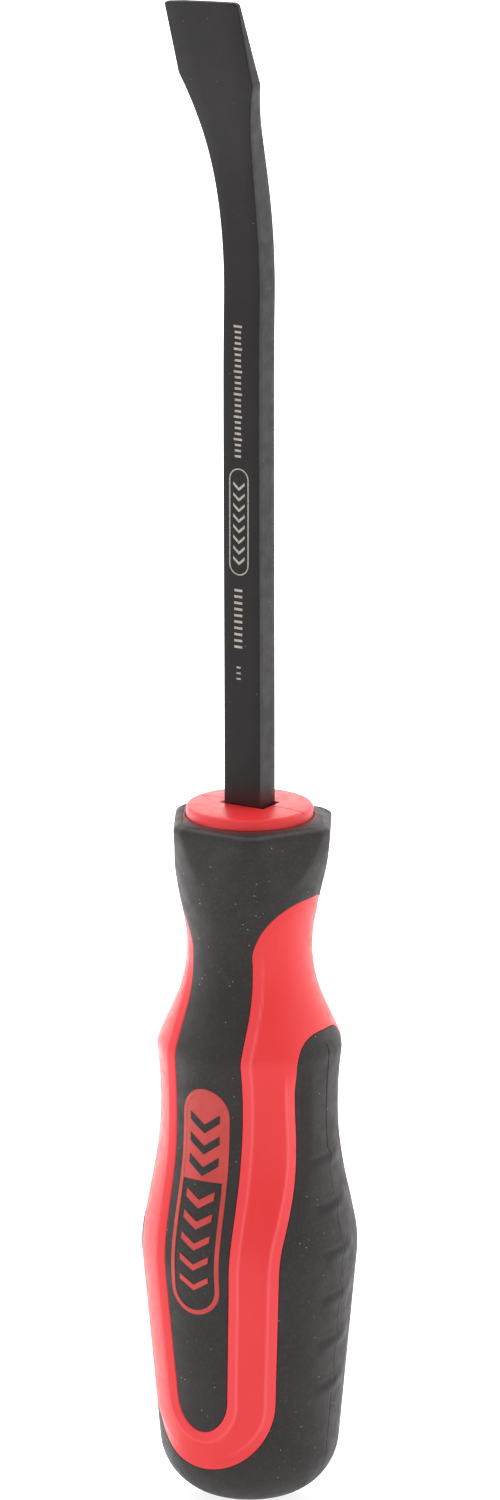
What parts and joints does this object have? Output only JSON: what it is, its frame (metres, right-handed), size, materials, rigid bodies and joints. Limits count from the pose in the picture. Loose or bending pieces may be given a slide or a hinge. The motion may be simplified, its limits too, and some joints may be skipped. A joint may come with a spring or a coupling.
{
  "type": "hand pry lever",
  "caption": "Small hand lever: square-edged forged bar with a flared, forward-bent flat tip in a two-tone moulded handle with soft grips.",
  "frame": {"origin": "centre of the small flat on the butt, on which the lever stands", "axes": "+Z along the bar from the butt to the tip; the badge side of the handle and the tip's bend face -Y; +X to the right seen from the badge side"},
  "size_m": [0.0286, 0.0278, 0.2],
  "materials": {
    "blackened_steel": "satin black oxide on forged steel",
    "red_plastic": "semi-gloss moulded hard plastic",
    "black_soft_grip": "matt moulded thermoplastic elastomer",
    "badge_red": "satin moulded hard plastic"
  },
  "bodies": {
    "root": {"pry_bar": "blackened_steel", "handle_core": "red_plastic", "front_grip": "black_soft_grip", "rear_grip": "black_soft_grip", "badge_inlay": "badge_red"}
  },
  "joints": []
}
